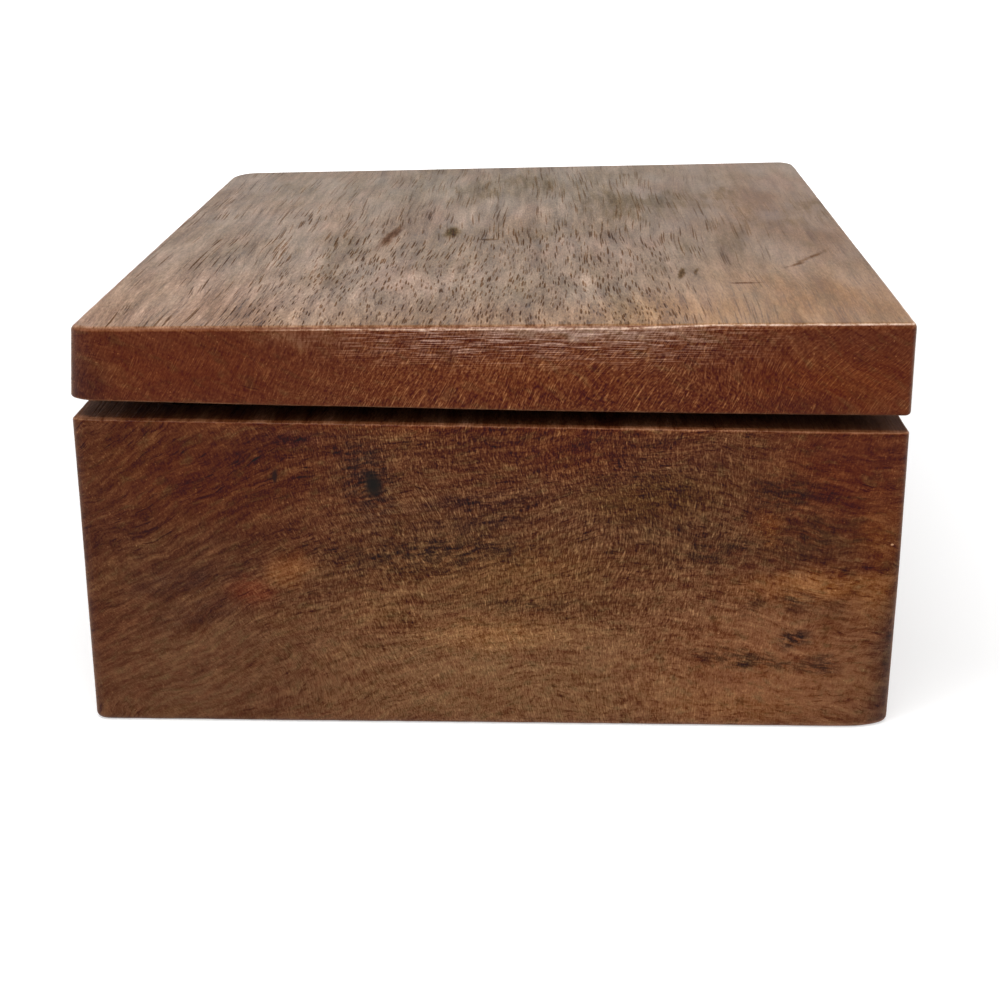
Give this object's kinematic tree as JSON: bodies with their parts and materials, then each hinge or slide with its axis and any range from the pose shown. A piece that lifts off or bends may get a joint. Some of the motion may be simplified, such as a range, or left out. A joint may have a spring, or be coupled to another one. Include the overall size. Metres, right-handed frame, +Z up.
{
  "type": "hinged wooden box",
  "caption": "Small hardwood box hollowed from one block, with a thick plain slab lid on brass butt hinges at the back.",
  "frame": {"origin": "centre of the base rectangle, on the surface that the box stands on", "axes": "+Z up, +Y from the front to the hinges at the back, +X to the right of someone who faces the front"},
  "size_m": [0.1523, 0.1831, 0.08],
  "materials": {
    "body_wood": "red-brown hardwood, end grain on the front and back, satin oil",
    "lid_wood": "red-brown hardwood, long grain with open pores on top, end grain in front, satin oil",
    "hinge_brass": "aged brass sheet, brushed",
    "screw_brass": "turned brass, lightly aged"
  },
  "bodies": {
    "box": {"body": "body_wood", "hinge_left_lower_leaf": "hinge_brass", "hinge_right_lower_leaf": "hinge_brass", "hinge_left_pin": "screw_brass", "hinge_right_pin": "screw_brass", "hinge_left_lower_screw_1": "screw_brass", "hinge_left_lower_screw_2": "screw_brass", "hinge_left_lower_screw_3": "screw_brass", "hinge_right_lower_screw_1": "screw_brass", "hinge_right_lower_screw_2": "screw_brass", "hinge_right_lower_screw_3": "screw_brass"},
    "lid_body": {"lid": "lid_wood", "hinge_left_upper_leaf": "hinge_brass", "hinge_right_upper_leaf": "hinge_brass", "hinge_left_upper_screw_1": "screw_brass", "hinge_left_upper_screw_2": "screw_brass", "hinge_left_upper_screw_3": "screw_brass", "hinge_right_upper_screw_1": "screw_brass", "hinge_right_upper_screw_2": "screw_brass", "hinge_right_upper_screw_3": "screw_brass"}
  },
  "joints": [
    {"name": "lid_hinge", "type": "hinge", "parent": "box", "child": "lid_body", "pos_m": [0.00002, 0.0917, 0.06135], "axis": [-0.9999, 0, 0.0109], "range_deg": [0, 180]}
  ]
}
